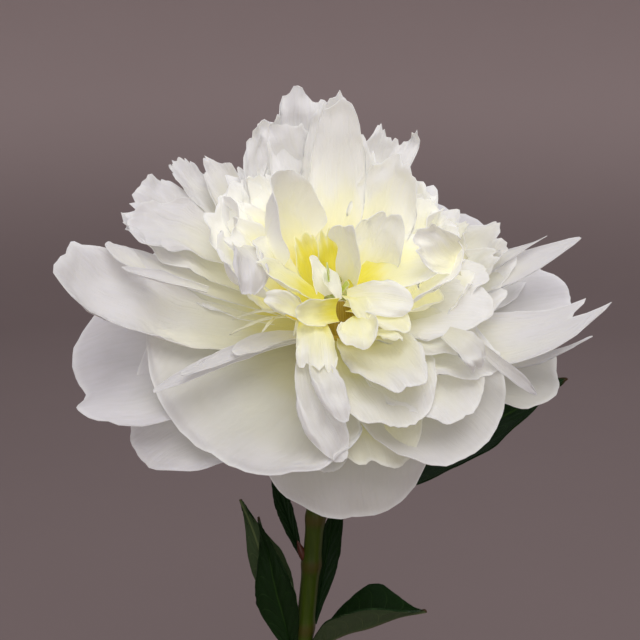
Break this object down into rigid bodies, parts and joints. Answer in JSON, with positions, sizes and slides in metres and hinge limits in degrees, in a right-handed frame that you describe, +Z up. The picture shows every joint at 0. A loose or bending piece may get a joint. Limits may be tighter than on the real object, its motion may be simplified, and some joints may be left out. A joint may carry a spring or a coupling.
{
  "type": "peony in a bud vase",
  "caption": "A fully open white double peony on a leafy stem, standing in water in a plain glazed bud vase.",
  "frame": {"origin": "centre of the vase's flat foot", "axes": "+Z up, -Y to the side that the bloom leans and opens to, +X to the right seen from that side"},
  "size_m": [0.1516, 0.1174, 0.3477],
  "materials": {
    "glaze": "satin grey-green glaze with a bare foot",
    "water": "clear still water",
    "stem": "fresh yellow-green stalk, fine ribs, reddish at the nodes",
    "leaf": "dark green with a soft gloss, paler veins and underside",
    "sepal": "matt pale green, tinged red at the rim",
    "petal": "matt white, thin and translucent, yellow at the base",
    "carpel": "pale yellow-green with a light down"
  },
  "bodies": {
    "root": {"vase": "glaze", "water": "water", "stem": "stem", "calyx": "sepal", "carpels": "carpel", "bloom": "petal", "leaf_left_front": "leaf", "leaf_left_back": "leaf", "leaf_upper_left": "leaf", "leaf_behind_stem": "leaf", "leaf_low_right": "leaf", "leaf_long_right": "leaf"}
  },
  "joints": []
}
